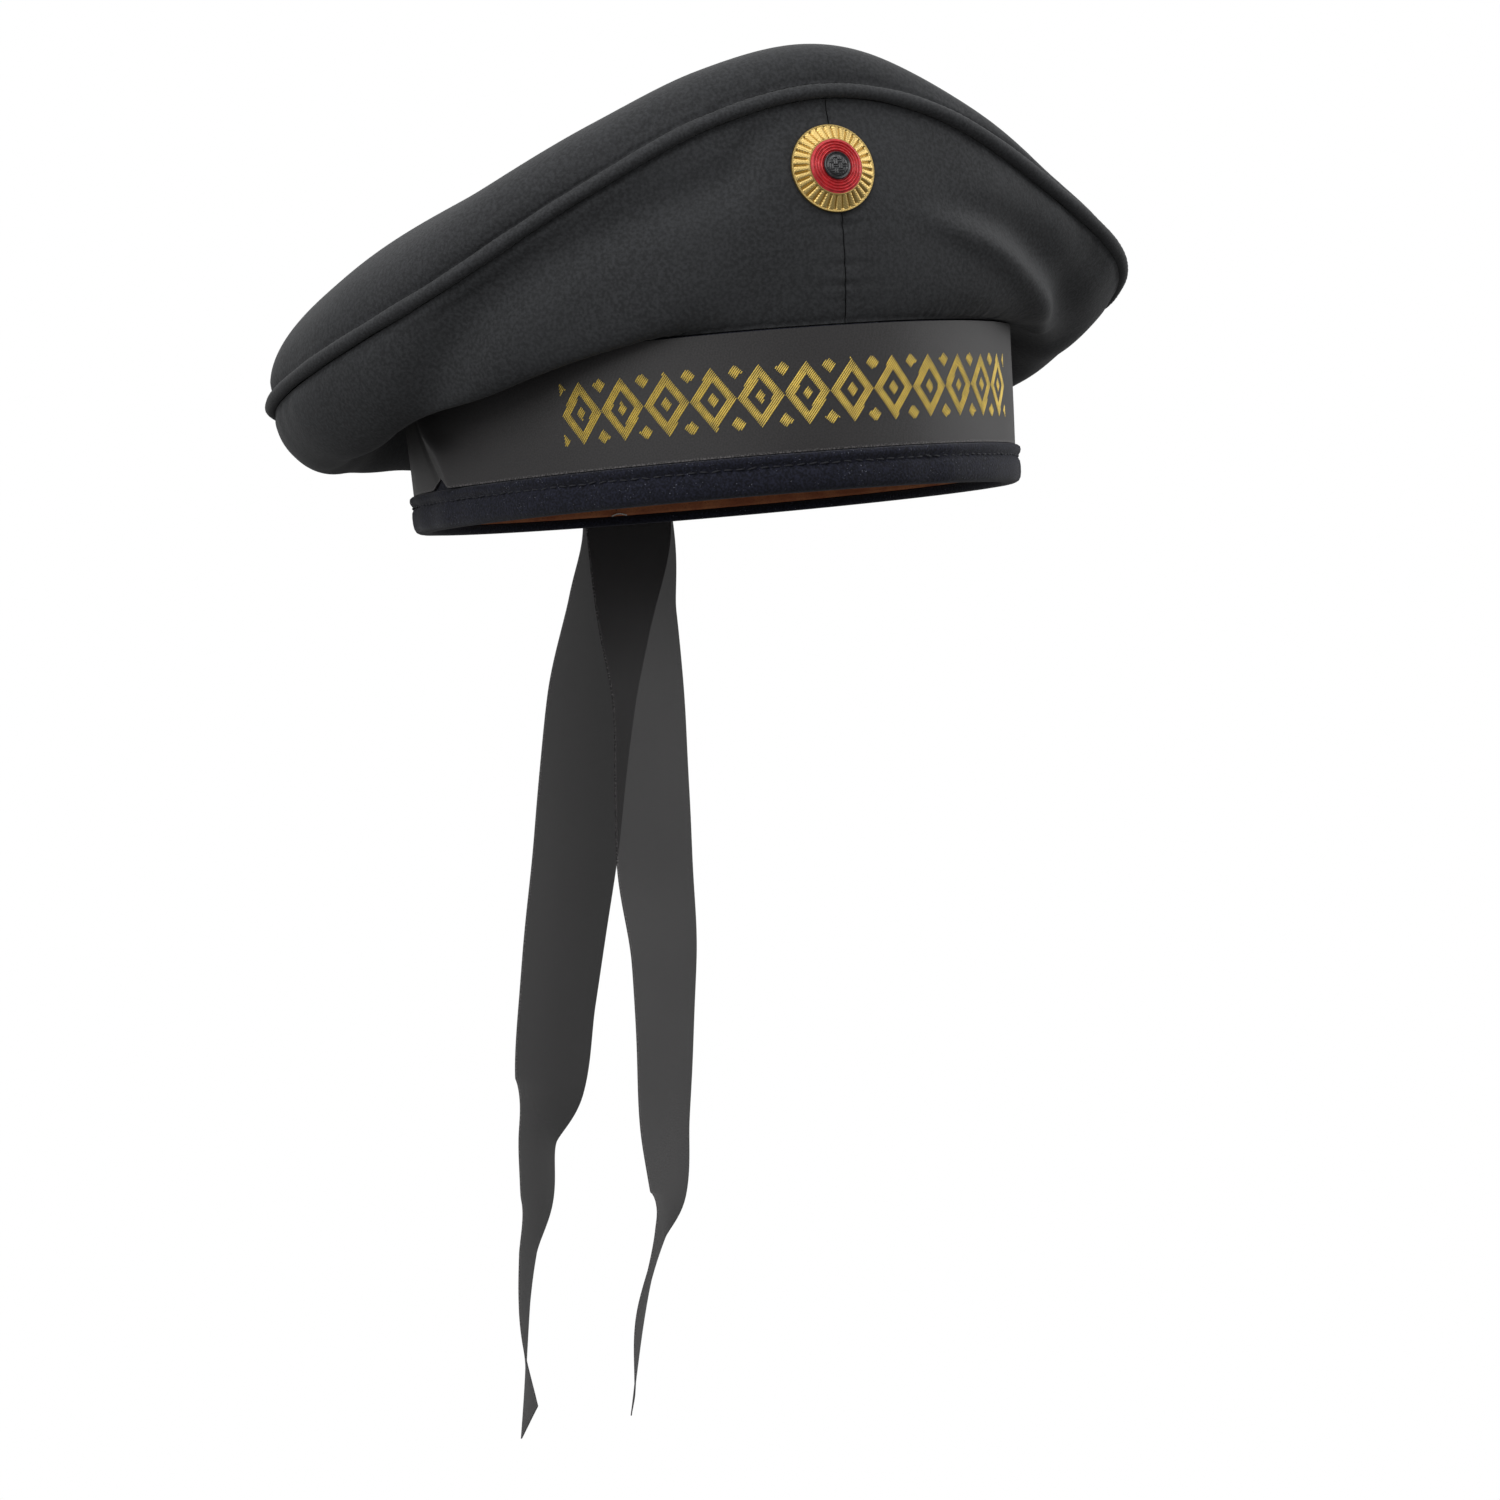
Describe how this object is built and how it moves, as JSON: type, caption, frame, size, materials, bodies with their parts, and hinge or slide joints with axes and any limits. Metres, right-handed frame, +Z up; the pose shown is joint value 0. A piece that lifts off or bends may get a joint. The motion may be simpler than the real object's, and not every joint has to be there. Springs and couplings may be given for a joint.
{
  "type": "sailor cap",
  "caption": "Soft plate-shaped sailor cap with a stiff ribboned headband, leather sweatband, round cockade and streamers hanging from the back.",
  "frame": {"origin": "middle of the head opening, in the plane of the lower rim", "axes": "+Z up through the crown, -Y out of the front of the cap where the cockade is, +X to the wearer's left"},
  "size_m": [0.2606, 0.2426, 0.4138],
  "materials": {
    "crown_cloth": "fine blue-black wool, matt",
    "piping_cloth": "the same wool over a cord, matt",
    "band_cloth": "navy melton, matt",
    "ribbon_silk": "ribbed silk ribbon, low sheen",
    "sweatband_leather": "smooth brown leather, satin",
    "cockade_gold": "pleated gilt metal, satin",
    "cockade_red": "ridged red enamel, satin",
    "cockade_black": "black cord pattern, satin"
  },
  "bodies": {
    "root": {"crown_top": "crown_cloth", "crown_side_left": "crown_cloth", "crown_side_right": "crown_cloth", "piping": "piping_cloth", "headband": "band_cloth", "sweatband": "sweatband_leather", "ribbon_band": "ribbon_silk", "streamer_left": "ribbon_silk", "streamer_right": "ribbon_silk", "cockade_ring": "cockade_gold", "cockade_disc": "cockade_red", "cockade_button": "cockade_black"}
  },
  "joints": []
}
